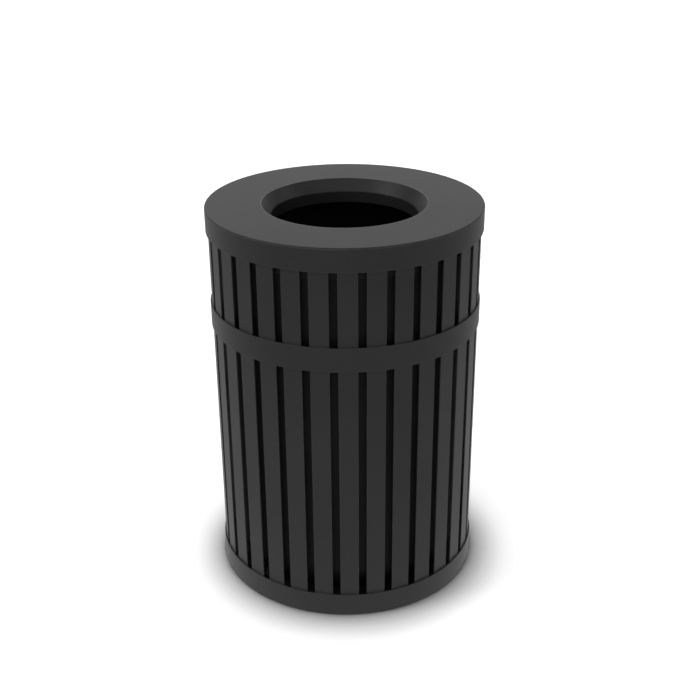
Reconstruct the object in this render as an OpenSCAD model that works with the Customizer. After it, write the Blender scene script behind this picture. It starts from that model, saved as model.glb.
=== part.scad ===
// Round slatted litter bin. A welded frame of flat steel slats carries a lift-off
// lid with a funnel mouth, and a moulded liner that lifts out once the lid is off.
// Millimetres, +Z up, origin on the ground at the centre of the base, front at -Y.

/* [Overall] */
// Height from the ground to the top of the lid
overall_h = 850; // [750:10:950]
// Diameter of the circle through the outer corners of the slats
slat_circle_d = 580; // [540:10:640]

/* [Slats] */
// Number of slats round the body
slat_count = 32; // [24:1:36]
// Width of each slat, a flat bar
slat_w = 40; // [30:1:46]
// Thickness of each slat
slat_t = 3; // [2:0.5:5]
// Gap between the ground and the lower ends of the slats
slat_ground_gap = 5; // [2:1:9]

/* [Bands and rings] */
// Thickness of the two outer bands
band_t = 3; // [2:0.5:5]
// Height of the band at the foot of the body
bottom_band_h = 52; // [45:1:80]
// Height of the band round the upper body
mid_band_h = 52; // [30:1:80]
// Height of the lower edge of the mid band above the ground
mid_band_z = 590; // [400:10:620]
// Thickness of the inner ring at the top of the frame, which the slats are welded to
top_ring_t = 5; // [3:0.5:8]
// Height of the inner ring at the top of the frame
top_ring_h = 30; // [20:1:45]
// Thickness of the inner ring at the foot of the frame, which also carries the base plate
base_ring_t = 8; // [6:0.5:10]
// Height of the inner ring at the foot of the frame
base_ring_h = 30; // [20:1:40]
// Height of the lower edge of the base ring above the ground
base_ring_z = 10; // [5:1:15]

/* [Lid] */
// Thickness of the flat ring on top of the lid
lid_plate_t = 3; // [2:0.5:5]
// Radius of the rounded edge round the top of the lid
lid_edge_r = 2.5; // [0.5:0.5:2.5]
// Depth of the lid's side, from the top of the lid to the foot of its skirt
skirt_h = 50; // [40:1:70]
// Thickness of the skirt, a rolled flat bar
skirt_t = 3; // [2:0.5:5]
// Clearance between the slats and the inside of the skirt
lid_clearance = 2; // [1:0.5:8]
// Sheet thickness of the funnel
funnel_sheet = 2; // [1.5:0.5:4]
// Diameter of the mouth at the top of the lid
mouth_d = 350; // [330:5:400]
// Diameter of the funnel's straight throat
throat_d = 310; // [280:5:320]
// Depth of the funnel's sloping part
funnel_cone_h = 25; // [15:1:30]
// Depth of the whole funnel below the top of the lid
funnel_h = 50; // [40:1:60]
// Number of rubber buffers under the lid
buffer_count = 4; // [3:1:6]
// Thickness of a buffer
buffer_t = 3; // [2:0.5:5]
// Length of a buffer along the rim
buffer_l = 30; // [20:1:50]
// Width of a buffer across the rim
buffer_w = 10; // [8:1:14]

/* [Liner] */
// Wall thickness of the moulded liner
liner_wall = 4; // [3:0.5:6]
// Clearance between the liner's rim and the top ring
liner_rim_clearance = 4; // [3:0.5:10]
// Clearance between the liner's rim and the lid's funnel above it
liner_headroom = 6; // [3:1:20]
// Distance that the thick rim stands out from the wall
liner_rim_w = 5; // [4:0.5:8]
// Height of the thick rim
liner_rim_h = 14; // [10:1:25]
// Amount that the wall's radius shrinks from the rim to the sloping foot
liner_taper = 3; // [1:0.5:8]
// Height of the sloping foot, which leaves room for the levelling feet
liner_slope_h = 70; // [60:1:100]
// Amount that the sloping foot draws in
liner_slope_w = 36; // [34:1:44]
// Outer radius of the bend between wall and sloping foot
liner_bend_r = 30; // [20:1:50]
// Outer radius of the corner at the foot
liner_corner_r = 16; // [12:1:24]
// Height that the middle of the bottom is raised
liner_kick_h = 18; // [14:1:24]
// Width of the flat ring on which the liner stands
liner_foot_w = 14; // [8:1:20]
// Length of each hand hole
grip_l = 110; // [90:1:140]
// Height of each hand hole
grip_h = 34; // [28:1:45]
// Distance from the rim's top down to the middle of the hand holes
grip_drop = 56; // [50:1:80]

/* [Base] */
// Thickness of the base plate
plate_t = 3; // [2:0.5:6]
// Height of the underside of the base plate above the ground
plate_z = 25; // [24:1:30]
// Diameter of the drain hole in the middle of the base plate
drain_d = 40; // [20:1:80]
// Number of anchor holes in the base plate
anchor_count = 4; // [3:1:4]
// Diameter of the circle through the anchor holes
anchor_pcd = 300; // [200:10:320]
// Diameter of each anchor hole
anchor_d = 14; // [10:1:18]

/* [Levelling feet] */
// Number of levelling feet
foot_count = 4; // [3:1:4]
// Distance from the base ring in to the middle of each foot
foot_inset = 22; // [20:1:24]
// Distance that each foot can be screwed out
foot_travel = 20; // [10:1:30]
// Diameter of the stud
stud_d = 10; // [8:1:12]
// Running clearance between the stud and its nut, on the radius
stud_clearance = 0.06; // [0.02:0.01:0.1]
// Length of stud that stays above the base plate when the foot is out
stud_spare = 6; // [3:1:15]
// Width across the flats of the stud's hex
hex_af = 13; // [13:1:17]
// Diameter of each foot's pad
pad_d = 32; // [28:1:36]
// Thickness of each foot's pad
pad_h = 8; // [6:0.5:9]
// Height of each weld nut
nut_h = 8; // [6:0.5:9]
// Width across the flats of each weld nut
nut_af = 17; // [16:1:19]

/* [Hidden] */
$fn = 96;
// Gap between pieces that are welded or bonded together
weld_gap = 0.05;
// Small radii on the edges of the flat bar, the rolled bands, the sheet, the liner's rim and the pads
bar_edge_r = 0.8;
band_edge_r = 0.8;
sheet_edge_r = 0.6;
rim_edge_r = 2.5;
pad_edge_r = 1;
// Distance that a cutter reaches past the piece it cuts
cut_past = 1;
// Steps in which each quarter round is drawn
edge_steps = 3;
round_steps = 6;

// Frame
slat_circle_r = slat_circle_d / 2;
slat_step = 360 / slat_count;
frame_top_z = overall_h - lid_plate_t - buffer_t;
slat_len = frame_top_z - slat_ground_gap;
slat_outer_r = sqrt(pow(slat_circle_r, 2) - pow(slat_w / 2, 2));
slat_inner_r = slat_outer_r - slat_t;
band_inner_r = slat_circle_r + weld_gap;
ring_outer_r = slat_inner_r - weld_gap;
top_ring_inner_r = ring_outer_r - top_ring_t;
base_ring_inner_r = ring_outer_r - base_ring_t;
plate_top_z = plate_z + plate_t;
plate_r = base_ring_inner_r - weld_gap;

// Lid
lid_inner_r = slat_circle_r + lid_clearance;
lid_outer_r = lid_inner_r + skirt_t;
mouth_r = mouth_d / 2;
throat_r = throat_d / 2;
cone_run = mouth_r - throat_r;
// Sheet thickness of the cone measured level, at its cut upper edge
cone_level_t = funnel_sheet * sqrt(pow(cone_run, 2) + pow(funnel_cone_h, 2)) / funnel_cone_h;
cone_foot_z = overall_h - funnel_cone_h;
funnel_foot_z = overall_h - funnel_h;
lid_hole_r = mouth_r + cone_level_t + weld_gap;
rim_mid_r = (top_ring_inner_r + slat_outer_r) / 2;

// Liner, with its own heights from its foot up
rim_r = top_ring_inner_r - liner_rim_clearance;
liner_top_z = funnel_foot_z - liner_headroom;
liner_foot_z = plate_top_z;
liner_h = liner_top_z - liner_foot_z;
liner_top_r = rim_r - liner_rim_w;
liner_bend_wall_r = liner_top_r - liner_taper;
liner_foot_r = liner_bend_wall_r - liner_slope_w;
slope_lean = atan2(liner_slope_w, liner_slope_h);
// Middles of the round corner at the foot and of the round bend above it
corner_at = [liner_foot_r - liner_corner_r * (1 - sin(slope_lean)) / cos(slope_lean), liner_corner_r];
bend_at = [liner_bend_wall_r - liner_bend_r, liner_slope_h + liner_bend_r * tan(slope_lean / 2)];
kick_r = corner_at.x - liner_foot_w - liner_kick_h;
grip_z = liner_top_z - grip_drop;

// Levelling feet
foot_r = base_ring_inner_r - foot_inset;
stud_r = stud_d / 2;
nut_z = plate_z - nut_h;
hex_gap = 0.5;
hex_top_z = nut_z - hex_gap;
hex_h = hex_top_z - pad_h;
stud_top_z = plate_top_z + foot_travel + stud_spare;
spigot_step = 1;
spigot_r = stud_r - spigot_step;
spigot_h = pad_h / 2;
spigot_gap = 0.3;
stud_hole_gap = 0.5;
stud_hole_r = stud_r + stud_hole_gap;

// Nodes
function numbered(name, count) = [for (i = [1 : count]) str(name, i < 10 ? "_0" : "_", i)];
SLATS = numbered("slat", slat_count);
STUDS = numbered("foot_stud", foot_count);
PADS = numbered("foot_pad", foot_count);

// Colours
paint = "#333435";
rubber = "#1b1b1c";
moulded_black = "#161617";
zinc = "#9a9b9d";

// Points of an arc, from one angle to another
function arc(centre, r, from, to, steps) = [for (i = [0 : steps])
    centre + r * [cos(from + (to - from) * i / steps), sin(from + (to - from) * i / steps)]];

// Outline of a rectangle with rounded corners, between two opposite corners
function rounded_box(low, high, r) = concat(
    arc([high.x - r, low.y + r], r, -90, 0, edge_steps),
    arc([high.x - r, high.y - r], r, 0, 90, edge_steps),
    arc([low.x + r, high.y - r], r, 90, 180, edge_steps),
    arc([low.x + r, low.y + r], r, 180, 270, edge_steps));

// A hexagonal prism, by its width across the flats
module hex_prism(h, af) {
    cylinder(h = h, r = af / 2 / cos(30), $fn = 6);
}

// A hoop rolled from flat bar
module hoop(inner_r, t, z, h, edge_r) {
    rotate_extrude() polygon(rounded_box([inner_r, z], [inner_r + t, z + h], edge_r));
}

// Copies of a piece round the axis, the first one at an angle from the front
module around(count, first) {
    for (i = [0 : count - 1]) rotate([0, 0, first + i * 360 / count]) children();
}

// One slat: a flat bar that stands on edge to the axis, its corners on the slat circle
module slat(i) {
    color(paint) rotate([0, 0, i * slat_step])
        translate([0, -(slat_outer_r + slat_inner_r) / 2, slat_ground_gap])
        linear_extrude(slat_len)
        polygon(rounded_box([-slat_w, -slat_t] / 2, [slat_w, slat_t] / 2, bar_edge_r));
}

// Inner ring that ties the tops of the slats and carries the lid
module top_ring() {
    color(paint) hoop(top_ring_inner_r, top_ring_t, frame_top_z - top_ring_h, top_ring_h, band_edge_r);
}

// Outer band round the upper body
module mid_band() {
    color(paint) hoop(band_inner_r, band_t, mid_band_z, mid_band_h, band_edge_r);
}

// Outer band on which the body stands
module bottom_band() {
    color(paint) hoop(band_inner_r, band_t, 0, bottom_band_h, band_edge_r);
}

// Inner ring that ties the feet of the slats and holds the base plate
module base_ring() {
    color(paint) hoop(base_ring_inner_r, base_ring_t, base_ring_z, base_ring_h, band_edge_r);
}

// Base plate: the liner stands on it, and anchors and levelling feet pass through it
module base_plate() {
    color(paint) translate([0, 0, plate_z]) difference() {
        cylinder(h = plate_t, r = plate_r);
        through_plate(0, drain_d);
        around(anchor_count, 0) through_plate(anchor_pcd / 2, anchor_d);
        around(foot_count, 180 / foot_count) through_plate(foot_r, 2 * stud_hole_r);
    }
}

// Cutter for a round hole through the base plate, at a distance in front of its middle
module through_plate(r, d) {
    translate([0, -r, -cut_past]) cylinder(h = plate_t + 2 * cut_past, d = d);
}

// Weld nuts under the base plate, one for each levelling foot
module weld_nuts() {
    color(paint) around(foot_count, 180 / foot_count) translate([0, -foot_r, nut_z]) difference() {
        hex_prism(nut_h, nut_af);
        translate([0, 0, -cut_past]) cylinder(h = nut_h + 2 * cut_past, r = stud_r + stud_clearance);
    }
}

// Places a piece of one levelling foot
module at_foot(i) {
    rotate([0, 0, (i + 0.5) * 360 / foot_count]) translate([0, -foot_r, 0]) children();
}

// Stud of a levelling foot: a screwed shank, a hex to turn it by and a spigot in the pad
module foot_stud(i) {
    color(zinc) at_foot(i) union() {
        translate([0, 0, hex_top_z]) cylinder(h = stud_top_z - hex_top_z, r = stud_r);
        translate([0, 0, pad_h]) hex_prism(hex_h, hex_af);
        translate([0, 0, pad_h - spigot_h]) cylinder(h = spigot_h, r = spigot_r);
    }
}

// Pad of a levelling foot: a glide with a domed shoulder and a socket for the spigot
module foot_pad(i) {
    pad_r = pad_d / 2;
    shoulder_r = pad_h / 2;
    socket_r = spigot_r + stud_clearance;
    socket_z = pad_h - spigot_h - spigot_gap;
    color(rubber) at_foot(i) rotate_extrude() polygon(concat(
        [[0, 0]],
        arc([pad_r - pad_edge_r, pad_edge_r], pad_edge_r, -90, 0, edge_steps),
        arc([pad_r - shoulder_r, pad_h - shoulder_r], shoulder_r, 0, 90, round_steps),
        [[socket_r, pad_h], [socket_r, socket_z], [0, socket_z]]));
}

// Moulded liner: a tub with a raised bottom, a foot that slopes in, a thick rim and two hand holes
module liner() {
    t = liner_wall;
    rim_foot_h = liner_h - liner_rim_h;
    outside = concat(
        [[0, liner_kick_h], [kick_r, liner_kick_h], [kick_r + liner_kick_h, 0]],
        arc(corner_at, liner_corner_r, -90, -slope_lean, round_steps),
        arc(bend_at, liner_bend_r, -slope_lean, 0, edge_steps),
        [[liner_top_r, rim_foot_h]],
        arc([rim_r - rim_edge_r, rim_foot_h + rim_edge_r], rim_edge_r, -90, 0, edge_steps));
    inside = concat(
        arc([rim_r - rim_edge_r, liner_h - rim_edge_r], rim_edge_r, 0, 90, edge_steps),
        arc([liner_top_r - t + rim_edge_r, liner_h - rim_edge_r], rim_edge_r, 90, 180, edge_steps),
        arc(bend_at, liner_bend_r - t, 0, -slope_lean, edge_steps),
        arc(corner_at, liner_corner_r - t, -slope_lean, -90, round_steps),
        [[kick_r + liner_kick_h, t], [kick_r, liner_kick_h + t], [0, liner_kick_h + t]]);
    color(moulded_black) difference() {
        translate([0, 0, liner_foot_z]) rotate_extrude() polygon(concat(outside, inside));
        translate([-rim_r, 0, grip_z]) rotate([90, 0, 90])
            linear_extrude(2 * rim_r) polygon(grip_outline());
    }
}

// Outline of a hand hole: a slot with round ends
function grip_outline() = let (end_r = grip_h / 2, half = grip_l / 2 - end_r) concat(
    arc([half, 0], end_r, -90, 90, 2 * round_steps),
    arc([-half, 0], end_r, 90, 270, 2 * round_steps));

// Lid plate: a flat ring, rounded round its upper edge
module lid_plate() {
    color(paint) rotate_extrude() polygon(concat(
        [[lid_hole_r, overall_h], [lid_hole_r, overall_h - lid_plate_t]],
        [[lid_outer_r, overall_h - lid_plate_t]],
        arc([lid_outer_r - lid_edge_r, overall_h - lid_edge_r], lid_edge_r, 0, 90, edge_steps)));
}

// Lid skirt: a flat bar rolled to a hoop and welded under the plate, flush with its edge
module lid_skirt() {
    foot_z = overall_h - skirt_h;
    head_z = overall_h - lid_plate_t - weld_gap;
    color(paint) rotate_extrude() polygon(concat(
        [[lid_outer_r, head_z], [lid_inner_r, head_z]],
        arc([lid_inner_r + sheet_edge_r, foot_z + sheet_edge_r], sheet_edge_r, 180, 270, edge_steps),
        arc([lid_outer_r - sheet_edge_r, foot_z + sheet_edge_r], sheet_edge_r, 270, 360, edge_steps)));
}

// Lid funnel: a cone that leads litter in from the mouth to a straight throat
module lid_funnel() {
    bend_z = cone_foot_z - (cone_level_t - funnel_sheet) * funnel_cone_h / cone_run;
    color(paint) rotate_extrude() polygon(concat(
        [[mouth_r, overall_h], [throat_r, cone_foot_z]],
        arc([throat_r + sheet_edge_r, funnel_foot_z + sheet_edge_r], sheet_edge_r, 180, 270, edge_steps),
        arc([throat_r + funnel_sheet - sheet_edge_r, funnel_foot_z + sheet_edge_r], sheet_edge_r,
            270, 360, edge_steps),
        [[throat_r + funnel_sheet, bend_z], [mouth_r + cone_level_t, overall_h]]));
}

// Rubber buffers bonded under the lid, on which it sits on the frame
module lid_buffers() {
    color(rubber) around(buffer_count, 180 / buffer_count)
        translate([-buffer_l / 2, -rim_mid_r - buffer_w / 2, frame_top_z])
        cube([buffer_l, buffer_w, buffer_t]);
}

for (i = [0 : slat_count - 1]) slat(i);
top_ring();
mid_band();
bottom_band();
base_ring();
base_plate();
weld_nuts();
for (i = [0 : foot_count - 1]) foot_stud(i);
for (i = [0 : foot_count - 1]) foot_pad(i);
liner();
lid_plate();
lid_skirt();
lid_funnel();
lid_buffers();
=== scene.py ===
# %% [markdown]
# # A round slatted litter bin
# The bin is a cage of upright flat bars, welded between two inner rings and two outer bands. A flat lid
# with a funnel mouth drops over the top, and a black moulded tub stands inside. The solids come from CAD,
# already at their real size and place, in metres. This lesson models each piece again as a clean mesh with
# soft edges, gives it a finish, and sets up the camera and the light.

# %% Load the solids
import math

import bpy
from mathutils import Matrix, Quaternion, Vector


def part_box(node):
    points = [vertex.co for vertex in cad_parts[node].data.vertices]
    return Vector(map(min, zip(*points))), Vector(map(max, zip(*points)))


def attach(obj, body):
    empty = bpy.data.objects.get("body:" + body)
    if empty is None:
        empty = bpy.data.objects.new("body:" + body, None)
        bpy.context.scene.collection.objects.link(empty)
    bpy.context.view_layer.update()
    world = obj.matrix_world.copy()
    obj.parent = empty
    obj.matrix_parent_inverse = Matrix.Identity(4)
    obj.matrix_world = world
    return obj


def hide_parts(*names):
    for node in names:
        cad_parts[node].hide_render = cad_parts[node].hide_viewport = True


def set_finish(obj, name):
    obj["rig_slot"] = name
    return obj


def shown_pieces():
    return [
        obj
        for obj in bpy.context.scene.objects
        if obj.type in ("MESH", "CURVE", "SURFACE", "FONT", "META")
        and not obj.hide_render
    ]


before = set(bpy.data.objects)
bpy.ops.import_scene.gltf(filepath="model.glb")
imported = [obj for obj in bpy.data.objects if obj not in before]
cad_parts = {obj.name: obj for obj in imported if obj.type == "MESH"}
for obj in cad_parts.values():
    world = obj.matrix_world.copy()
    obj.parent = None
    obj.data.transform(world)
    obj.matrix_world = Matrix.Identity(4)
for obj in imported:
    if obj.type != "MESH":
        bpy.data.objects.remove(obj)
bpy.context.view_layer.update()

# %% [markdown]
# ## The camera
# The picture to match is a square of 700 pixels. The curve of the lid and the lean of the sides give the
# camera's height, distance and lens. The camera is placed first, because it decides how much detail each
# side of the bin needs.

# %% Camera
FRAME_PX = 700
FOCAL_PX = 1107
SENSOR_MM = 36
VIEW_AZIMUTH = math.radians(-1.155)
VIEW_ELEVATION = math.radians(24.92)
VIEW_ROLL = math.radians(-0.372)
VIEW_DISTANCE = 2.481
VIEW_TARGET = Vector((0.0095, -0.0002, 0.5037))
FARTHEST_SEEN = 200


def towards(azimuth, elevation):
    """Direction from the bin, by an azimuth from the front and an elevation above the horizon."""
    level = math.cos(elevation)
    return Vector((math.sin(azimuth) * level, -math.cos(azimuth) * level, math.sin(elevation)))


def place_camera():
    back = towards(VIEW_AZIMUTH, VIEW_ELEVATION)
    bpy.ops.object.camera_add(location=VIEW_TARGET + back * VIEW_DISTANCE)
    camera = bpy.context.object
    camera.rotation_mode = "QUATERNION"
    camera.rotation_quaternion = (-back).to_track_quat("-Z", "Y") @ Quaternion((0, 0, 1), VIEW_ROLL)
    camera.data.sensor_width = SENSOR_MM
    camera.data.lens = SENSOR_MM * FOCAL_PX / FRAME_PX
    camera.data.clip_end = FARTHEST_SEEN
    bpy.context.scene.camera = camera
    return camera


camera = place_camera()
print("lens: %.1f mm" % camera.data.lens)

# %% [markdown]
# ## Working by hand, in code
# Operators act on whatever is selected, so each helper first makes sure that only its own piece is. An edge
# or a vertex is then picked by where it is, as the eye would pick it.

# %% Selecting and finishing
SMOOTH_ANGLE = math.radians(35)
SAME_PLACE = 1e-5
MERGE_GAP = 1e-6
CUT_GAP = 1e-7
ROUND_PROFILE = 0.5


def leave_edit_mode():
    if bpy.context.mode != "OBJECT":
        bpy.ops.object.mode_set(mode="OBJECT")
    bpy.ops.object.select_all(action="DESELECT")


def select_only(piece):
    leave_edit_mode()
    piece.select_set(True)
    bpy.context.view_layer.objects.active = piece


def select_edges(piece, wanted):
    """Goes into edit mode with just those edges selected whose two ends pass the test."""
    select_only(piece)
    bpy.ops.object.mode_set(mode="EDIT")
    bpy.ops.mesh.select_mode(type="EDGE")
    bpy.ops.mesh.select_all(action="DESELECT")
    bpy.ops.object.mode_set(mode="OBJECT")
    points = piece.data.vertices
    for edge in piece.data.edges:
        edge.select = wanted(points[edge.vertices[0]].co, points[edge.vertices[1]].co)
    bpy.ops.object.mode_set(mode="EDIT")


def round_edges(piece, wanted, width, segments=3):
    """Rolls edges over, starting at a width from them on either side."""
    select_edges(piece, wanted)
    bpy.ops.mesh.bevel(offset=width, segments=segments, profile=ROUND_PROFILE, affect="EDGES")
    leave_edit_mode()


def apply_modifier(piece, kind, **settings):
    select_only(piece)
    modifier = piece.modifiers.new(kind.lower(), kind)
    for name, value in settings.items():
        setattr(modifier, name, value)
    bpy.ops.object.modifier_apply(modifier=modifier.name)
    leave_edit_mode()


def cut(piece, tool, operation="DIFFERENCE"):
    """Cuts a piece with a tool, or adds the tool to it, and throws the tool away."""
    apply_modifier(piece, "BOOLEAN", operation=operation, solver="EXACT", object=tool)
    bpy.data.objects.remove(tool)


def join(pieces, name):
    select_only(pieces[0])
    for piece in pieces:
        piece.select_set(True)
    bpy.ops.object.join()
    pieces[0].name = name
    leave_edit_mode()
    return pieces[0]


def copy_of(piece, name, matrix):
    """A copy with a mesh of its own, moved inside that mesh so that its object stays at the origin."""
    select_only(piece)
    bpy.ops.object.duplicate()
    copy = bpy.context.object
    copy.name = name
    copy.data.transform(matrix)
    leave_edit_mode()
    return copy


def turn(angle):
    return Matrix.Rotation(angle, 4, "Z")


def put_in_place(piece, body, slot, *nodes):
    """Smooths a finished piece, lets it ride on its body, and lets it stand for its solids."""
    select_only(piece)
    bpy.ops.object.shade_smooth_by_angle(angle=SMOOTH_ANGLE)
    apply_modifier(piece, "WEIGHTED_NORMAL", keep_sharp=True)
    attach(piece, body)
    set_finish(piece, slot)
    if nodes:
        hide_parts(*nodes)
    print("%s: %d faces" % (piece.name, len(piece.data.polygons)))


# %% [markdown]
# ## Turned shapes
# Most of the bin is round. A turned shape could be spun from a drawn outline. Here it starts as a circle,
# and its edge is extruded and resized from point to point of the outline, which keeps the faces in clean
# rings and makes it easy to pick one ring later and roll it over to a radius.

# %% Drawing a turned shape
ROUND_SIDES = 256
ROUND_STEP = math.radians(18)
FEWEST_STEPS = 2


def radii(node, height=None):
    """Smallest and largest distance from the axis that a solid reaches, in all or at one height."""
    points = [v.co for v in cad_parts[node].data.vertices]
    if height is not None:
        points = [p for p in points if abs(p.z - height) < SAME_PLACE]
    reach = [p.to_2d().length for p in points]
    return min(reach), max(reach)


def ring_at(radius, height):
    """Test for edges that run round the axis at a radius and a height."""
    def on_ring(p):
        return abs(p.to_2d().length - radius) < SAME_PLACE and abs(p.z - height) < SAME_PLACE
    return lambda a, b: on_ring(a) and on_ring(b)


def extrude_ring(start, end):
    """Draws the selected ring on to the next point of the outline."""
    bpy.ops.mesh.extrude_edges_move(TRANSFORM_OT_translate={"value": (0, 0, end.y - start.y)})
    grow = end.x / start.x
    bpy.ops.transform.resize(value=(grow, grow, 1), center_override=(0, 0, end.y))


def turned(name, outline, capped=False, sides=ROUND_SIDES):
    """Turns an outline round the Z axis. Its points are (radius, height) or (radius, height, rounding).

    The outline closes on itself, as a hoop's does, or if it is capped a flat face closes each end.
    """
    points = [Vector(p[:2]) for p in outline]
    leave_edit_mode()
    bpy.ops.mesh.primitive_circle_add(vertices=sides, radius=points[0].x, location=(0, 0, points[0].y))
    piece = bpy.context.object
    piece.name = name
    bpy.ops.object.transform_apply(location=True)
    bpy.ops.object.mode_set(mode="EDIT")
    bpy.ops.mesh.select_mode(type="EDGE")
    bpy.ops.mesh.select_all(action="SELECT")
    path = points if capped else points + points[:1]
    for start, end in zip(path, path[1:]):
        extrude_ring(start, end)
    if capped:
        bpy.ops.mesh.edge_face_add()
        select_edges(piece, ring_at(*points[0]))
        bpy.ops.mesh.edge_face_add()
    bpy.ops.mesh.select_all(action="SELECT")
    bpy.ops.mesh.remove_doubles(threshold=MERGE_GAP)
    bpy.ops.mesh.normals_make_consistent(inside=False)
    ends = [Vector((0, points[0].y)), Vector((0, points[-1].y))] if capped else [points[-1], points[0]]
    line = ends[:1] + points + ends[1:]
    for corner, before, here, after in zip(outline, line, line[1:], line[2:]):
        if len(corner) == 3:
            bend = (here - before).angle(after - here)
            steps = max(FEWEST_STEPS, round(bend / ROUND_STEP))
            round_edges(piece, ring_at(*here), corner[2] * math.tan(bend / 2), steps)
    leave_edit_mode()
    return piece


# %% [markdown]
# ## The slats
# Each slat is a length of flat bar. The mill leaves its long edges slightly round, and the saw leaves its
# ends square with the burr taken off. One bar is modelled from a box at the front of the bin, and then
# copied round the axis.

# %% Slats
SLAT_COUNT = 32
BAR_EDGE = 0.0008
SAWN_EDGE = 0.0004


def boxed(name, low, high):
    """A box between two corners."""
    leave_edit_mode()
    bpy.ops.mesh.primitive_cube_add(size=1, location=(low + high) / 2, scale=high - low)
    piece = bpy.context.object
    piece.name = name
    bpy.ops.object.transform_apply(location=True, rotation=True, scale=True)
    return piece


def model_slat():
    low, high = (Vector(corner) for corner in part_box("slat_01"))
    slat = boxed("slat_bar_01", low, high)
    round_edges(slat, lambda a, b: abs(a.z - b.z) > (high.z - low.z) / 2, BAR_EDGE, segments=4)
    round_edges(slat, lambda a, b: abs(a.z - b.z) < SAME_PLACE, SAWN_EDGE, segments=2)
    return slat


slats = [model_slat()]
for i in range(1, SLAT_COUNT):
    slats.append(copy_of(slats[0], "slat_bar_%02d" % (i + 1), turn(2 * math.pi * i / SLAT_COUNT)))
for i, slat in enumerate(slats):
    put_in_place(slat, "frame", "powder_coat", "slat_%02d" % (i + 1))

# %% [markdown]
# ## The bands and rings
# A band is a flat bar rolled into a hoop. Its two ends meet at the back in a butt weld that is ground
# nearly flush, and under the paint a low ridge is left. The ridge is one column of faces, drawn out a
# little.

# %% Bands and rings
HOOP_EDGE = 0.0008
SEAM_HEIGHT = 0.0004


def model_hoop(name, node):
    inner, outer = radii(node)
    foot, head = (corner[2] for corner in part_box(node))
    hoop = turned(name, [(inner, foot, HOOP_EDGE), (outer, foot, HOOP_EDGE),
                         (outer, head, HOOP_EDGE), (inner, head, HOOP_EDGE)])
    for vertex in hoop.data.vertices:
        at = vertex.co
        if abs(at.x) < SAME_PLACE and at.y > 0 and foot + HOOP_EDGE <= at.z + SAME_PLACE <= head:
            side = 1 if at.y > (inner + outer) / 2 else -1
            at.y += side * SEAM_HEIGHT
    return hoop


for name, node in (("mid_hoop", "mid_band"), ("foot_hoop", "bottom_band"),
                   ("top_inner_hoop", "top_ring"), ("base_inner_hoop", "base_ring")):
    put_in_place(model_hoop(name, node), "frame", "powder_coat", node)

# %% [markdown]
# ## The base plate
# The floor of the cage is a laser-cut disc with a drain in the middle, four anchor holes and four holes for
# the levelling studs. The disc is turned, and the other holes are cut out of it. The cutter flares a little
# at each end, so every hole comes out with its edges broken.

# %% Base plate
ANCHOR_CIRCLE = 0.150
ANCHOR_RADIUS = 0.007
STUD_HOLE_RADIUS = 0.0055
HOLE_EDGE = 0.0006
HOLE_SIDES = 48
FEET = 4


def hole_cutter(radius, foot, head):
    """A round cutter that flares at both ends."""
    flare = radius + HOLE_EDGE
    past = flare + HOLE_EDGE
    outline = [(past, foot - HOLE_EDGE), (flare, foot), (radius, foot + HOLE_EDGE),
               (radius, head - HOLE_EDGE), (flare, head), (past, head + HOLE_EDGE)]
    return turned("cutter", outline, capped=True, sides=HOLE_SIDES)


def foot_place(i):
    """Where a levelling foot stands: its stud's middle, on the ground."""
    low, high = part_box("foot_stud_%02d" % (i + 1))
    return Vector(((low[0] + high[0]) / 2, (low[1] + high[1]) / 2, 0))


def model_base_plate():
    inner, outer = radii("base_plate")
    foot, head = (corner[2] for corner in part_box("base_plate"))
    plate = turned("base_floor", [(inner, foot, HOLE_EDGE), (outer, foot), (outer, head),
                                  (inner, head, HOLE_EDGE)])
    for i in range(FEET):
        anchor = hole_cutter(ANCHOR_RADIUS, foot, head)
        anchor.data.transform(turn(math.pi / 2 * i) @ Matrix.Translation((0, -ANCHOR_CIRCLE, 0)))
        cut(plate, anchor)
        stud_hole = hole_cutter(STUD_HOLE_RADIUS, foot, head)
        stud_hole.data.transform(Matrix.Translation(foot_place(i)))
        cut(plate, stud_hole)
    return plate


put_in_place(model_base_plate(), "frame", "powder_coat", "base_plate")

# %% [markdown]
# ## The levelling feet
# A foot is a stud with a screw thread, a hexagon to turn it by and a moulded pad. The thread is a V of one
# pitch that the Screw modifier winds up the stud. The hexagons of stud and nut have the rounded corners of
# real ones, which come from a prism meeting a turned lens.

# %% Levelling feet
STUD_RADIUS = 0.005
THREAD_PITCH = 0.0015
THREAD_DEPTH = 0.0009
THREAD_STEPS = 32
HEX_CHAMFER = 0.0012
STUD_HEX = 0.013
STUD_HEX_GAP = 0.0005
SPIGOT_RADIUS = 0.0039
NUT_HEX = 0.017
NUT_BORE = 0.00506
PAD_ROUND = 0.004
PAD_FOOT_ROUND = 0.001
PAD_SIDES = 96
SOCKET_RADIUS = 0.00406
SOCKET_FLOOR = 0.0037
TREAD_MIDDLE = 0.004
TREAD_DEPTH = 0.0008
TREAD_SLANT = 0.0003
# Inner and outer radius of each groove in a pad's tread
TREAD_GROOVES = ((0.0055, 0.0075), (0.0105, 0.0125))


def model_hexagon(name, across, foot, head):
    """A hexagonal head by its width across the flats, its corners turned off at both ends."""
    corner = across / 2 / math.cos(math.pi / 6)
    leave_edit_mode()
    bpy.ops.mesh.primitive_cylinder_add(vertices=6, radius=corner, depth=head - foot,
                                        location=(0, 0, (foot + head) / 2))
    hexagon = bpy.context.object
    hexagon.name = name
    bpy.ops.object.transform_apply(location=True)
    face = across / 2 - HEX_CHAMFER / 4
    past = corner + HEX_CHAMFER
    outline = [(face, foot), (past, foot + HEX_CHAMFER), (past, head - HEX_CHAMFER), (face, head)]
    lens = turned("lens", outline, capped=True, sides=HOLE_SIDES)
    cut(hexagon, lens, "INTERSECT")
    return hexagon


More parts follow.
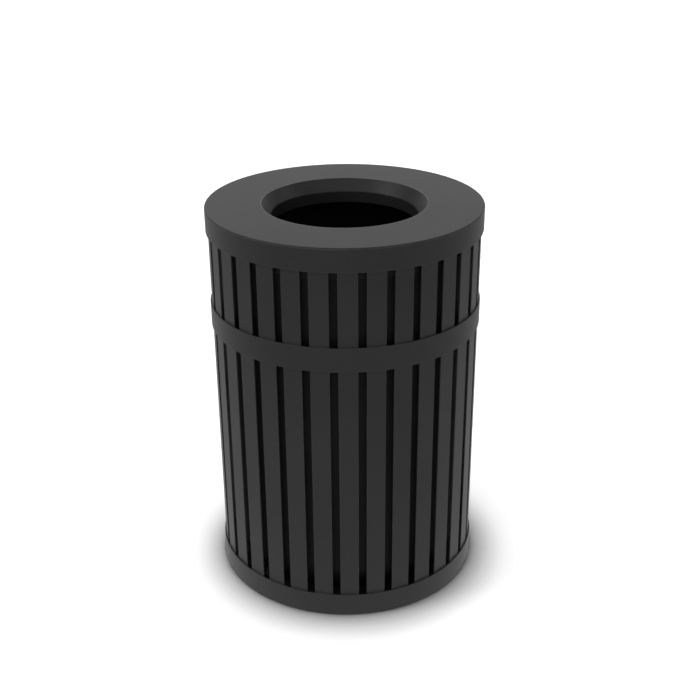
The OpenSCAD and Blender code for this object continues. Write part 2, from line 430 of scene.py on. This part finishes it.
def model_thread(foot, head):
    """A screw thread between two heights, with flat ends."""
    leave_edit_mode()
    bpy.ops.mesh.primitive_plane_add(size=THREAD_PITCH)
    thread = bpy.context.object
    # Without its last corner the square is a V, from corner 1 over corner 0 to corner 2
    bpy.ops.object.mode_set(mode="EDIT")
    bpy.ops.mesh.select_all(action="DESELECT")
    bpy.ops.object.mode_set(mode="OBJECT")
    thread.data.vertices[3].select = True
    bpy.ops.object.mode_set(mode="EDIT")
    bpy.ops.mesh.select_mode(type="VERT")
    bpy.ops.mesh.delete(type="VERT")
    leave_edit_mode()
    root = STUD_RADIUS - THREAD_DEPTH
    start = foot - THREAD_PITCH
    shape = {1: (root, start), 0: (STUD_RADIUS, start + THREAD_PITCH / 2), 2: (root, start + THREAD_PITCH)}
    for corner, (radius, height) in shape.items():
        thread.data.vertices[corner].co = (radius, 0, height)
    apply_modifier(thread, "SCREW", screw_offset=THREAD_PITCH, steps=THREAD_STEPS, render_steps=THREAD_STEPS,
                   iterations=math.ceil((head - foot) / THREAD_PITCH) + 2, use_merge_vertices=True,
                   merge_threshold=MERGE_GAP)
    # The turns are merged where they meet, so that each cut leaves one closed end
    select_only(thread)
    bpy.ops.object.mode_set(mode="EDIT")
    for height, up in ((head, 1), (foot, -1)):
        bpy.ops.mesh.select_all(action="SELECT")
        bpy.ops.mesh.remove_doubles(threshold=MERGE_GAP)
        bpy.ops.mesh.bisect(plane_co=(0, 0, height), plane_no=(0, 0, up), clear_outer=True, use_fill=True,
                            threshold=CUT_GAP)
    bpy.ops.mesh.select_all(action="SELECT")
    bpy.ops.mesh.normals_make_consistent(inside=False)
    leave_edit_mode()
    return thread


def model_stud():
    foot, head = (corner[2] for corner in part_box("foot_stud_01"))
    pad_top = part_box("foot_pad_01")[1][2]
    hex_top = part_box("weld_nuts")[0][2] - STUD_HEX_GAP
    stud = model_hexagon("foot_screw", STUD_HEX, pad_top, hex_top)
    cut(stud, model_thread(hex_top - HEX_CHAMFER, head), "UNION")
    outline = [(SPIGOT_RADIUS, foot), (SPIGOT_RADIUS, pad_top + HEX_CHAMFER)]
    spigot = turned("spigot", outline, capped=True, sides=HOLE_SIDES)
    cut(stud, spigot, "UNION")
    return stud


def model_pad():
    low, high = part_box("foot_pad_01")
    radius, head = (high[0] - low[0]) / 2, high[2]
    outline = [(TREAD_MIDDLE, 0)]
    for near, far in TREAD_GROOVES:
        outline += [(near, 0), (near + TREAD_SLANT, TREAD_DEPTH), (far - TREAD_SLANT, TREAD_DEPTH), (far, 0)]
    outline += [(radius, 0, PAD_FOOT_ROUND), (radius, head, PAD_ROUND)]
    outline += [(SOCKET_RADIUS, head), (SOCKET_RADIUS, SOCKET_FLOOR)]
    return turned("foot_glide", outline, capped=True, sides=PAD_SIDES)


def model_nut():
    low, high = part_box("weld_nuts")
    nut = model_hexagon("weld_nut", NUT_HEX, low[2], high[2])
    cut(nut, hole_cutter(NUT_BORE, low[2], high[2]))
    return nut


stud, pad, nut = model_stud(), model_pad(), model_nut()
nuts = []
for i in range(FEET):
    place = Matrix.Translation(foot_place(i))
    number = "%d" % (i + 1)
    screw = copy_of(stud, "foot_screw_" + number, place)
    glide = copy_of(pad, "foot_glide_" + number, place)
    put_in_place(screw, "foot_" + number, "zinc_steel", "foot_stud_0" + number)
    put_in_place(glide, "foot_" + number, "foot_plastic", "foot_pad_0" + number)
    nuts.append(copy_of(nut, "nut", place))
put_in_place(join(nuts, "weld_nut_set"), "frame", "powder_coat", "weld_nuts")
for pattern in (stud, pad, nut):
    bpy.data.objects.remove(pattern)

# %% [markdown]
# ## The liner
# The tub inside is moulded in black plastic. Its outline runs up the outside, over the thick rim and down
# the inside, with a flat face at each end for the two sides of the bottom. The hand holes are cut with a
# slot-shaped tool, and a round bead is moulded about each, so that it doesn't cut the hands that lift the
# tub.

# %% Liner
LINER_WALL = 0.004
SLOPE_HEIGHT = 0.070
SLOPE_WIDTH = 0.036
TAPER = 0.003
RIM_WIDTH = 0.005
RIM_HEIGHT = 0.014
RIM_EDGE = 0.0025
CORNER_ROUND = 0.016
BEND_ROUND = 0.030
KICK_HEIGHT = 0.018
KICK_RADIUS = 0.1915
KICK_ROUND = 0.004
GRIP_LENGTH = 0.110
GRIP_HEIGHT = 0.034
GRIP_DROP = 0.056
BEAD_RADIUS = 0.003
BEAD_POINTS = 72
BEAD_ROUNDING = 3
GRIP_SEGMENTS = 16


def model_tub():
    rim = radii("liner")[1]
    foot, head = (corner[2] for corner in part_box("liner"))
    wall = rim - RIM_WIDTH
    bend = wall - TAPER
    slope_foot = bend - SLOPE_WIDTH
    steepness = SLOPE_HEIGHT / SLOPE_WIDTH
    across = LINER_WALL * math.hypot(SLOPE_WIDTH, SLOPE_HEIGHT) / SLOPE_HEIGHT
    inner_foot = slope_foot + LINER_WALL / steepness - across
    inner_bend = foot + SLOPE_HEIGHT + (across - LINER_WALL) * steepness
    return turned("liner_tub", [
        (KICK_RADIUS, foot + KICK_HEIGHT, KICK_ROUND),
        (KICK_RADIUS + KICK_HEIGHT, foot, KICK_ROUND),
        (slope_foot, foot, CORNER_ROUND),
        (bend, foot + SLOPE_HEIGHT, BEND_ROUND),
        (wall, head - RIM_HEIGHT),
        (rim, head - RIM_HEIGHT, RIM_EDGE),
        (rim, head, RIM_EDGE),
        (wall - LINER_WALL, head, RIM_EDGE),
        (bend - LINER_WALL, inner_bend, BEND_ROUND - LINER_WALL),
        (inner_foot, foot + LINER_WALL, CORNER_ROUND - LINER_WALL),
        (KICK_RADIUS + KICK_HEIGHT, foot + LINER_WALL, KICK_ROUND),
        (KICK_RADIUS, foot + KICK_HEIGHT + LINER_WALL, KICK_ROUND)], capped=True)


def grip_point(share):
    """A point on a hand hole's edge, by its share of the way round: sideways and up from the middle."""
    half, end = GRIP_LENGTH / 2 - GRIP_HEIGHT / 2, GRIP_HEIGHT / 2
    straight, bow = 2 * half, math.pi * end
    way = share * 2 * (straight + bow)
    if way < straight:
        return Vector((way - half, -end))
    if way < straight + bow:
        angle = (way - straight) / end - math.pi / 2
        return Vector((half + end * math.cos(angle), end * math.sin(angle)))
    return -grip_point(share - 0.5)


def model_grip_bead(name, radius, height):
    """A round bead about a hand hole on the right, on a wall of this radius."""
    leave_edit_mode()
    bpy.ops.mesh.primitive_circle_add(vertices=BEAD_POINTS, radius=GRIP_HEIGHT)
    bead = bpy.context.object
    bead.name = name
    for i, vertex in enumerate(bead.data.vertices):
        sideways, up = grip_point(i / BEAD_POINTS)
        vertex.co = (math.sqrt(radius ** 2 - sideways ** 2), sideways, height + up)
    bpy.ops.object.convert(target="CURVE")
    bead = bpy.context.object
    bead.data.bevel_depth = BEAD_RADIUS
    bead.data.bevel_resolution = BEAD_ROUNDING
    bpy.ops.object.convert(target="MESH")
    bead = bpy.context.object
    leave_edit_mode()
    return bead


def model_liner():
    tub = model_tub()
    rim = radii("liner")[1]
    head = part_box("liner")[1][2]
    height = head - GRIP_DROP
    half = Vector((rim, GRIP_LENGTH / 2, GRIP_HEIGHT / 2))
    middle = Vector((0, 0, height))
    slot = boxed("cutter", middle - half, middle + half)
    round_edges(slot, lambda a, b: abs(a.x - b.x) > rim, GRIP_HEIGHT / 2 - SAME_PLACE, GRIP_SEGMENTS)
    cut(tub, slot)
    # The wall's radius half way through its thickness, where the hand holes are
    down = GRIP_DROP / (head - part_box("liner")[0][2])
    bead_radius = rim - RIM_WIDTH - TAPER * down - LINER_WALL / 2
    beads = [model_grip_bead("bead", bead_radius, height)]
    beads.append(copy_of(beads[0], "bead", turn(math.pi)))
    return join([tub] + beads, "liner_tub")


put_in_place(model_liner(), "liner", "liner_plastic", "liner")

# %% [markdown]
# ## The lid
# The lid is a flat ring with a rolled skirt welded under its edge, ground flush and painted. The funnel is
# a sheet cone that leads into a short straight throat. It is welded into the ring's hole from below, and
# its cut edge is dressed flush with the top.

# %% Lid
LID_EDGE = 0.0025
SHEET_EDGE = 0.0006
FUNNEL_SHEET = 0.002
FUNNEL_BEND = 0.005
CONE_DEPTH = 0.025
MOUTH_EDGE = 0.0008


def model_lid_plate():
    hole, edge = radii("lid_plate")
    foot, head = (corner[2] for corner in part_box("lid_plate"))
    return turned("lid_top_ring", [(hole, foot), (edge, foot), (edge, head, LID_EDGE), (hole, head)])


def model_lid_skirt():
    inner, outer = radii("lid_skirt")
    foot, head = (corner[2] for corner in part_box("lid_skirt"))
    return turned("lid_skirt_hoop", [(inner, foot, SHEET_EDGE), (outer, foot, SHEET_EDGE), (outer, head),
                                     (inner, head)])


def model_funnel():
    foot, head = (corner[2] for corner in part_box("lid_funnel"))
    mouth, edge = radii("lid_funnel", head)
    throat = radii("lid_funnel")[0]
    bend = head - CONE_DEPTH
    outer_bend = bend - (edge - mouth - FUNNEL_SHEET) * CONE_DEPTH / (mouth - throat)
    outside = throat + FUNNEL_SHEET
    return turned("lid_funnel_sheet", [
        (mouth, head, MOUTH_EDGE), (throat, bend, FUNNEL_BEND), (throat, foot, SHEET_EDGE),
        (outside, foot, SHEET_EDGE), (outside, outer_bend, FUNNEL_BEND + FUNNEL_SHEET), (edge, head)])


put_in_place(model_lid_plate(), "lid", "powder_coat", "lid_plate")
put_in_place(model_lid_skirt(), "lid", "powder_coat", "lid_skirt")
put_in_place(model_funnel(), "lid", "powder_coat", "lid_funnel")

# %% [markdown]
# ## The rubber buffers
# Four pads of rubber are bonded under the lid, so that it doesn't ring or rub the paint when it is dropped
# on. Each is a block with soft edges and two grooves across its foot.

# %% Buffers
BUFFERS = 4
BUFFER_SIZE = Vector((0.030, 0.010, 0.003))
BUFFER_EDGE = 0.0006
GROOVE_RADIUS = 0.0008
GROOVE_SIDES = 16


def model_buffer(radius, foot):
    """The buffer at the front of the bin."""
    low = Vector((-BUFFER_SIZE.x / 2, -radius - BUFFER_SIZE.y / 2, foot))
    buffer = boxed("buffer", low, low + BUFFER_SIZE)
    round_edges(buffer, lambda a, b: True, BUFFER_EDGE)
    for sideways in (-BUFFER_SIZE.x / 6, BUFFER_SIZE.x / 6):
        outline = [(GROOVE_RADIUS, -BUFFER_SIZE.y), (GROOVE_RADIUS, BUFFER_SIZE.y)]
        groove = turned("cutter", outline, capped=True, sides=GROOVE_SIDES)
        lying = Matrix.Rotation(math.pi / 2, 4, "X")
        groove.data.transform(Matrix.Translation((sideways, -radius, foot)) @ lying)
        cut(buffer, groove)
    return buffer


def buffer_circle():
    """Distance from the axis to the middle of a buffer, from the solids, which stand at 45 degrees."""
    near, far = radii("lid_buffers")
    return (near + math.sqrt(far ** 2 - (BUFFER_SIZE.x / 2) ** 2)) / 2


front_buffer = model_buffer(buffer_circle(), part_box("lid_buffers")[0][2])
buffers = [copy_of(front_buffer, "buffer", turn(math.pi / BUFFERS * (2 * i + 1))) for i in range(BUFFERS)]
bpy.data.objects.remove(front_buffer)
put_in_place(join(buffers, "lid_buffer_set"), "lid", "buffer_rubber", "lid_buffers")

# %% [markdown]
# ## The welds
# The slats are held to the inner rings by short fillet welds, which show once lid and liner are out. So are
# the base plate, the lid's skirt and its funnel. On top of the two outer bands a finer bead runs along each
# slat. A bead is a little rippled sausage, half sunk in the corner that it fills. There are nearly two
# hundred, so one bead has few faces.

# %% Weld beads
BEAD_SIDES = 8
RIPPLES = 5
# Where a ripple is thickest, as a share of its length
RIPPLE_CREST = 0.45
# Radius of the bead between two ripples, as a share of its width
RIPPLE_VALLEY = 0.42
# Length and width of one bead
SLAT_WELD = (0.028, 0.005)
BAND_WELD = (0.036, 0.0028)
PLATE_WELD = (0.040, 0.005)
LID_WELD = (0.030, 0.004)
PLATE_WELDS = 16
SKIRT_WELDS = 24
MOUTH_WELDS = 16


def model_weld(length, width):
    """A bead along X, with its middle at the origin."""
    step = length / RIPPLES
    outline = [(width / 4, -length / 2)]
    for i in range(RIPPLES):
        start = -length / 2 + i * step
        outline += [(width / 2, start + step * RIPPLE_CREST), (width * RIPPLE_VALLEY, start + step)]
    outline[-1] = (width / 4, length / 2)
    weld = turned("weld", outline, capped=True, sides=BEAD_SIDES)
    weld.data.transform(Matrix.Rotation(math.pi / 2, 4, "Y"))
    return weld


def ring_of_welds(count, first, size, radius, height):
    """Beads round the axis, the first one at an angle from the front."""
    weld = model_weld(*size)
    weld.data.transform(Matrix.Translation((0, -radius, height)))
    welds = [copy_of(weld, "weld", turn(first + 2 * math.pi * i / count)) for i in range(count)]
    bpy.data.objects.remove(weld)
    return welds


def model_frame_welds():
    slat_front, slat_back = (-corner[1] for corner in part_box("slat_01"))
    top_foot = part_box("top_ring")[0][2]
    base_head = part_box("base_ring")[1][2]
    plate_edge, plate_head = radii("base_plate")[1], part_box("base_plate")[1][2]
    welds = ring_of_welds(SLAT_COUNT, 0, SLAT_WELD, slat_back, top_foot)
    welds += ring_of_welds(SLAT_COUNT, 0, SLAT_WELD, slat_back, base_head)
    welds += ring_of_welds(PLATE_WELDS, math.pi / PLATE_WELDS, PLATE_WELD, plate_edge, plate_head)
    for band in ("mid_band", "bottom_band"):
        welds += ring_of_welds(SLAT_COUNT, 0, BAND_WELD, slat_front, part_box(band)[1][2])
    return join(welds, "frame_weld_beads")


def model_lid_welds():
    skirt_inner = radii("lid_skirt")[0]
    hole = radii("lid_plate")[0]
    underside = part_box("lid_plate")[0][2]
    welds = ring_of_welds(SKIRT_WELDS, 0, LID_WELD, skirt_inner, underside)
    welds += ring_of_welds(MOUTH_WELDS, math.pi / MOUTH_WELDS, LID_WELD, hole, underside)
    return join(welds, "lid_weld_beads")


put_in_place(model_frame_welds(), "frame", "powder_coat")
put_in_place(model_lid_welds(), "lid", "powder_coat")

# %% [markdown]
# ## Effects that the finishes share
# Every surface here has a fine texture: orange peel in the powder coat, a spark-eroded grain on the
# mouldings. All of them are also touched by use, though this bin is nearly new: edges that hands and bags
# rub get a little paler and smoother, and dust settles where a face looks up. The paler edges are also a
# painted highlight, the line that light would draw along a rounded edge. Each effect could be drawn again
# in every material. Here each is a node group, made once, that puts out a mask, and a material sets its
# size and its strength.

# %% Group helpers
def new_node(tree, kind, **settings):
    node = tree.nodes.new(kind)
    for name, value in settings.items():
        setattr(node, name, value)
    return node


def new_group(name, inputs, outputs):
    """An empty group with number sockets, and the two nodes that carry them inside it."""
    group = bpy.data.node_groups.new(name, "ShaderNodeTree")
    for title, default in inputs.items():
        socket = group.interface.new_socket(title, in_out="INPUT", socket_type="NodeSocketFloat")
        socket.default_value = default
    for title in outputs:
        group.interface.new_socket(title, in_out="OUTPUT", socket_type="NodeSocketFloat")
    return group, new_node(group, "NodeGroupInput"), new_node(group, "NodeGroupOutput")


def stretched(tree, value, low, high, to_low=0.0, to_high=1.0):
    """Maps a stretch of a value to another one, and holds it there outside."""
    node = new_node(tree, "ShaderNodeMapRange")
    for title, number in (("From Min", low), ("From Max", high), ("To Min", to_low), ("To Max", to_high)):
        node.inputs[title].default_value = number
    tree.links.new(value, node.inputs["Value"])
    return node.outputs["Result"]


def times(tree, first, second):
    node = new_node(tree, "ShaderNodeMath", operation="MULTIPLY")
    tree.links.new(first, node.inputs[0])
    tree.links.new(second, node.inputs[1])
    return node.outputs["Value"]


def noise(tree, scale, detail):
    """A noise on the piece's own coordinates."""
    place = new_node(tree, "ShaderNodeTexCoord")
    node = new_node(tree, "ShaderNodeTexNoise")
    node.inputs["Detail"].default_value = detail
    tree.links.new(place.outputs["Object"], node.inputs["Vector"])
    tree.links.new(scale, node.inputs["Scale"])
    return node.outputs["Fac"]


# %% [markdown]
# ## The grain
# Two noises: a fine one for the grain itself, and a broad one for slow changes of tone.

# %% Grain group
NOISE_LOW, NOISE_HIGH = 0.32, 0.68
GRAIN_DETAIL = 2.0
CLOUD_DETAIL = 4.0


def make_grain_group():
    group, inlet, outlet = new_group("surface_grain", {"Grain Scale": 1200.0, "Cloud Scale": 6.0},
                                     ("Grain", "Cloud"))
    grain = noise(group, inlet.outputs["Grain Scale"], GRAIN_DETAIL)
    cloud = noise(group, inlet.outputs["Cloud Scale"], CLOUD_DETAIL)
    group.links.new(grain, outlet.inputs["Grain"])
    group.links.new(stretched(group, cloud, NOISE_LOW, NOISE_HIGH), outlet.inputs["Cloud"])
    return group


grain_group = make_grain_group()
print("group:", grain_group.name)

# %% [markdown]
# ## Rubbed edges and painted edge highlights
# An edge can be found by its sharpness at each vertex, but that depends on the mesh. Here the occlusion
# inside the wall finds it: close to an outer edge, a look inwards soon meets the next face. A patchy noise
# then breaks the line up, because no edge is rubbed evenly. The mask stands for wear and also paints a
# highlight along each edge, since the finishes make it paler.

# %% Edge wear and painted highlight group
WEAR_HIGHLIGHT_SAMPLES = 6
WEAR_HIGHLIGHT_DETAIL = 3.0
# The openness inwards at which wear and painted highlight set in and at which they are full, and the least
# that a patch leaves of them
WEAR_HIGHLIGHT_NONE, WEAR_HIGHLIGHT_FULL = 0.95, 0.55
WEAR_HIGHLIGHT_LEAST = 0.25


def make_wear_and_highlight_group():
    inputs = {"Reach": 0.002, "Patch Scale": 30.0, "Strength": 0.5}
    group, inlet, outlet = new_group("edge_wear_and_highlight", inputs, ("Wear And Highlight",))
    inside = new_node(group, "ShaderNodeAmbientOcclusion", inside=True, only_local=True, samples=WEAR_HIGHLIGHT_SAMPLES)
    group.links.new(inlet.outputs["Reach"], inside.inputs["Distance"])
    # Outer edges, marked for wear and for a painted highlight
    edge = stretched(group, inside.outputs["AO"], WEAR_HIGHLIGHT_NONE, WEAR_HIGHLIGHT_FULL)
    clouds = noise(group, inlet.outputs["Patch Scale"], WEAR_HIGHLIGHT_DETAIL)
    patches = stretched(group, clouds, NOISE_LOW, NOISE_HIGH, WEAR_HIGHLIGHT_LEAST)
    worn_and_lit = times(group, times(group, edge, patches), inlet.outputs["Strength"])
    group.links.new(worn_and_lit, outlet.inputs["Wear And Highlight"])
    return group


wear_and_highlight_group = make_wear_and_highlight_group()
print("group:", wear_and_highlight_group.name)

# %% [markdown]
# ## Dust
# Dust lies on what looks up, in soft patches. The face's own direction gives the first and a noise the
# second.

# %% Dust group
DUST_DETAIL = 6.0
# How far up a face has to look for the first dust and for all of it, and the least that a patch leaves of it
DUST_NONE, DUST_FULL = 0.5, 1.0
DUST_LEAST = 0.2


def make_dust_group():
    group, inlet, outlet = new_group("settled_dust", {"Patch Scale": 12.0, "Strength": 0.1}, ("Dust",))
    place = new_node(group, "ShaderNodeTexCoord")
    direction = new_node(group, "ShaderNodeSeparateXYZ")
    group.links.new(place.outputs["Normal"], direction.inputs["Vector"])
    upwards = stretched(group, direction.outputs["Z"], DUST_NONE, DUST_FULL)
    clouds = noise(group, inlet.outputs["Patch Scale"], DUST_DETAIL)
    patches = stretched(group, clouds, NOISE_LOW, NOISE_HIGH, DUST_LEAST)
    dust = times(group, times(group, upwards, patches), inlet.outputs["Strength"])
    group.links.new(dust, outlet.inputs["Dust"])
    return group


dust_group = make_dust_group()
print("group:", dust_group.name)

# %% [markdown]
# ## The finishes
# All finishes share one recipe. Two close tones are mixed by the broad noise, and the peaks of the fine one
# get a third. Then the rubbed edges go over them, paler for wear and as a painted highlight, and then the
# dust. The roughness comes from the fine noise, and the same two masks change it. The bump comes from the
# fine noise as well. What is even all over, such as metalness or the strength of the reflection, is set
# straight on the shader.

# %% The recipe
BUMP_STRENGTH = 0.5
PEAK_LOW = 0.5
DUST_TONE = (0.16, 0.15, 0.14)
DUST_ROUGH = 0.9


def grey(level):
    return (level, level, level)


def placed(tree, group, **values):
    """A group placed in a material. A value's name is its socket's, with _ for a space."""
    node = new_node(tree, "ShaderNodeGroup", node_tree=group)
    for name, value in values.items():
        node.inputs[name.replace("_", " ").title()].default_value = value
    return node


def mixed(tree, factor, below, above):
    """Lays one colour or number over another by a mask. The lower one may be a socket."""
    kind = "RGBA" if isinstance(above, tuple) else "VALUE"
    node = new_node(tree, "ShaderNodeMix", data_type="RGBA" if kind == "RGBA" else "FLOAT")
    tree.links.new(factor, node.inputs["Factor"])
    first, second = [s for s in node.inputs if s.type == kind and s.name in "AB"][:2]
    second.default_value = above + (1,) if kind == "RGBA" else above
    if isinstance(below, bpy.types.NodeSocket):
        tree.links.new(below, first)
    else:
        first.default_value = below + (1,) if kind == "RGBA" else below
    return next(s for s in node.outputs if s.type == kind)


def make_finish(name, tones, rough, grain, bump, worn_and_lit, wear_and_highlight, dust, metallic=0.0, specular=0.5):
    """A material. tones: the clouds' two tones and that of the grain's peaks; rough: the range of roughness;
    grain: the scales of grain and cloud; bump: the grain's height in metres; worn_and_lit: tone and roughness
    of a rubbed edge, whose paler tone is also a painted highlight; wear_and_highlight: its reach and
    strength;
    dust: its strength.
    """
    material = bpy.data.materials.new(name)
    material.use_nodes = True
    tree = material.node_tree
    shader = tree.nodes["Principled BSDF"]
    shader.inputs["Metallic"].default_value = metallic
    shader.inputs["Specular IOR Level"].default_value = specular
    texture = placed(tree, grain_group, grain_scale=grain[0], cloud_scale=grain[1])
    rubbed_and_lit = placed(tree, wear_and_highlight_group, reach=wear_and_highlight[0], strength=wear_and_highlight[1]).outputs["Wear And Highlight"]
    dusty = placed(tree, dust_group, strength=dust).outputs["Dust"]
    peaks = stretched(tree, texture.outputs["Grain"], PEAK_LOW, NOISE_HIGH)
    tone = mixed(tree, texture.outputs["Cloud"], grey(tones[0]), grey(tones[1]))
    tone = mixed(tree, peaks, tone, grey(tones[2]))
    # Rubbed edges: paler from wear, and as a painted highlight along each edge
    tone = mixed(tree, rubbed_and_lit, tone, grey(worn_and_lit[0]))
    tone = mixed(tree, dusty, tone, DUST_TONE)
    tree.links.new(tone, shader.inputs["Base Color"])
    polish = stretched(tree, texture.outputs["Grain"], NOISE_LOW, NOISE_HIGH, *rough)
    polish = mixed(tree, rubbed_and_lit, polish, worn_and_lit[1])
    polish = mixed(tree, dusty, polish, DUST_ROUGH)
    tree.links.new(polish, shader.inputs["Roughness"])
    relief = new_node(tree, "ShaderNodeBump")
    relief.inputs["Strength"].default_value = BUMP_STRENGTH
    relief.inputs["Distance"].default_value = bump
    tree.links.new(texture.outputs["Grain"], relief.inputs["Height"])
    tree.links.new(relief.outputs["Normal"], shader.inputs["Normal"])
    return material


# %% [markdown]
# ## One finish for each kind of piece
# The powder coat is a black with a soft sheen. The liner and the pads are duller mouldings, the rubber is
# duller still, and the studs are plated black, so that nothing bright shows between the slats.

# %% Finishes
# Each worn_and_lit tone is a paler rubbed edge that also paints a highlight
finishes = {
    "powder_coat": make_finish(
        "black powder coat", tones=(0.023, 0.031, 0.042), rough=(0.37, 0.47), grain=(1100, 5), bump=0.00018,
        worn_and_lit=(0.090, 0.32), wear_and_highlight=(0.0016, 0.8), dust=0.05, specular=0.25),
    "liner_plastic": make_finish(
        "black moulded plastic", tones=(0.012, 0.018, 0.026), rough=(0.62, 0.74), grain=(700, 9),
        bump=0.00024, worn_and_lit=(0.050, 0.50), wear_and_highlight=(0.0030, 0.7), dust=0.06, specular=0.12),
    "buffer_rubber": make_finish(
        "buffer rubber", tones=(0.008, 0.013, 0.018), rough=(0.75, 0.88), grain=(500, 20), bump=0.00016,
        worn_and_lit=(0.030, 0.70), wear_and_highlight=(0.0012, 0.6), dust=0.04),
    "zinc_steel": make_finish(
        "black zinc plate", tones=(0.018, 0.028, 0.038), rough=(0.40, 0.54), grain=(400, 60), bump=0.00004,
        worn_and_lit=(0.060, 0.36), wear_and_highlight=(0.0006, 0.6), dust=0.02, metallic=1.0),
    "foot_plastic": make_finish(
        "foot plastic", tones=(0.010, 0.015, 0.022), rough=(0.45, 0.58), grain=(800, 15), bump=0.00016,
        worn_and_lit=(0.040, 0.60), wear_and_highlight=(0.0015, 0.7), dust=0.05),
}
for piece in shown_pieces():
    piece.data.materials.clear()
    piece.data.materials.append(finishes[piece["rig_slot"]])
print("finishes:", ", ".join(finishes))

# %% [markdown]
# ## Floor and light
# The bin stands on a plain pale floor in a white studio. A soft light hangs almost straight above, and
# casts a soft shadow about the foot. Panels of light round the room give the rest: a broad one behind the
# bin, which the flat lid mirrors, two in front, high for the mouth and low for the slats, one on the left
# that lights up a side of the funnel, and a small one on the right that draws a line on the lid's edge.
# The floor is white to the camera, and a painted shadow darkens its colour close to what stands on it; to
# the bin it glows, a grey light that fades outwards. The room is likewise white to the camera, for the low
# views that look past the floor.

# %% Floor, with a painted shadow
FLOOR_SIZE = 120
FLOOR_WHITE = 1.36
# Reach, depth and curve of the painted shadow that darkens the floor's colour near the bin
PAINTED_SHADOW_REACH = 0.14
PAINTED_SHADOW_DARK = 0.50
PAINTED_SHADOW_CURVE = 0.5
BOUNCE_NEAR = 0.85
BOUNCE_FAR = 0.57
BOUNCE_REACH = 2.2


def make_floor():
    leave_edit_mode()
    bpy.ops.mesh.primitive_plane_add(size=FLOOR_SIZE)
    floor = bpy.context.object
    floor.name = "studio_floor"
    material = bpy.data.materials.new("studio floor with painted shadow")
    material.use_nodes = True
    tree = material.node_tree
    tree.nodes.remove(tree.nodes["Principled BSDF"])
    seen = new_node(tree, "ShaderNodeBsdfDiffuse")
    # Painted shadow: occlusion darkens the floor's colour close to what stands on it
    painted_shadow = new_node(tree, "ShaderNodeAmbientOcclusion")
    painted_shadow.inputs["Distance"].default_value = PAINTED_SHADOW_REACH
    clear = stretched(tree, painted_shadow.outputs["AO"], PAINTED_SHADOW_DARK, 1.0)
    curve = new_node(tree, "ShaderNodeMath", operation="POWER")
    curve.inputs[1].default_value = PAINTED_SHADOW_CURVE
    tree.links.new(clear, curve.inputs[0])
    # The floor's white, with the painted shadow in it
    white = stretched(tree, curve.outputs["Value"], 0.0, 1.0, 0.0, FLOOR_WHITE)
    tree.links.new(white, seen.inputs["Color"])
    place = new_node(tree, "ShaderNodeTexCoord")
    distance = new_node(tree, "ShaderNodeVectorMath", operation="LENGTH")
    tree.links.new(place.outputs["Object"], distance.inputs["Vector"])
    fade = stretched(tree, distance.outputs["Value"], 0.0, BOUNCE_REACH, BOUNCE_NEAR, BOUNCE_FAR)
    bounced = new_node(tree, "ShaderNodeEmission")
    tree.links.new(fade, bounced.inputs["Strength"])
    path = new_node(tree, "ShaderNodeLightPath")
    either = new_node(tree, "ShaderNodeMixShader")
    tree.links.new(path.outputs["Is Camera Ray"], either.inputs["Fac"])
    tree.links.new(bounced.outputs["Emission"], either.inputs[1])
    tree.links.new(seen.outputs["BSDF"], either.inputs[2])
    tree.links.new(either.outputs["Shader"], tree.nodes["Material Output"].inputs["Surface"])
    floor.data.materials.append(material)
    print("floor: %d m" % FLOOR_SIZE)


make_floor()

# %% Light
SUN_POWER = 1.5
SUN_SPREAD = math.radians(10)
SUN_AZIMUTH = math.radians(220)
SUN_ELEVATION = math.radians(88.6)
ROOM_LEVEL = 0.12
# Azimuth from the front, elevation, radius of the full light and of its faded edge, in degrees, and strength
PANELS = ((180, 22, 12, 50, 0.66), (0, 58, 10, 40, 0.20), (0, 18, 20, 60, 0.27),
          (-78, 38, 5, 14, 6.2), (109, 36, 2, 7, 4.0))


def make_overhead():
    bpy.ops.object.light_add(type="SUN")
    sun = bpy.context.object
    sun.name = "overhead_light"
    sun.data.energy = SUN_POWER
    sun.data.angle = SUN_SPREAD
    sun.visible_glossy = False
    sun.rotation_mode = "QUATERNION"
    sun.rotation_quaternion = towards(SUN_AZIMUTH, SUN_ELEVATION).to_track_quat("Z", "Y")


def make_room():
    """A dim room with soft panels of light. Each panel is brightest along its own direction."""
    world = bpy.data.worlds.new("white room")
    bpy.context.scene.world = world
    world.use_nodes = True
    tree = world.node_tree
    place = new_node(tree, "ShaderNodeTexCoord")
    level = None
    for azimuth, elevation, full, edge, strength in PANELS:
        along = new_node(tree, "ShaderNodeVectorMath", operation="DOT_PRODUCT")
        along.inputs[1].default_value = towards(math.radians(azimuth), math.radians(elevation))
        panel = new_node(tree, "ShaderNodeMapRange", interpolation_type="SMOOTHSTEP")
        panel.inputs["From Min"].default_value = math.cos(math.radians(edge))
        panel.inputs["From Max"].default_value = math.cos(math.radians(full))
        panel.inputs["To Max"].default_value = strength
        total = new_node(tree, "ShaderNodeMath", operation="ADD")
        total.inputs[1].default_value = ROOM_LEVEL
        tree.links.new(place.outputs["Generated"], along.inputs[0])
        tree.links.new(along.outputs["Value"], panel.inputs["Value"])
        tree.links.new(panel.outputs["Result"], total.inputs[0])
        if level:
            tree.links.new(level, total.inputs[1])
        level = total.outputs["Value"]
    lit = tree.nodes["Background"]
    lit.inputs["Color"].default_value = grey(1.0) + (1,)
    tree.links.new(level, lit.inputs["Strength"])
    seen = new_node(tree, "ShaderNodeBackground")
    seen.inputs["Color"].default_value = grey(1.0) + (1,)
    path = new_node(tree, "ShaderNodeLightPath")
    either = new_node(tree, "ShaderNodeMixShader")
    tree.links.new(path.outputs["Is Camera Ray"], either.inputs["Fac"])
    tree.links.new(lit.outputs["Background"], either.inputs[1])
    tree.links.new(seen.outputs["Background"], either.inputs[2])
    tree.links.new(either.outputs["Shader"], tree.nodes["World Output"].inputs["Surface"])


make_overhead()
make_room()
bpy.context.scene.view_settings.view_transform = "Standard"
leave_edit_mode()
print("panels of light:", len(PANELS))
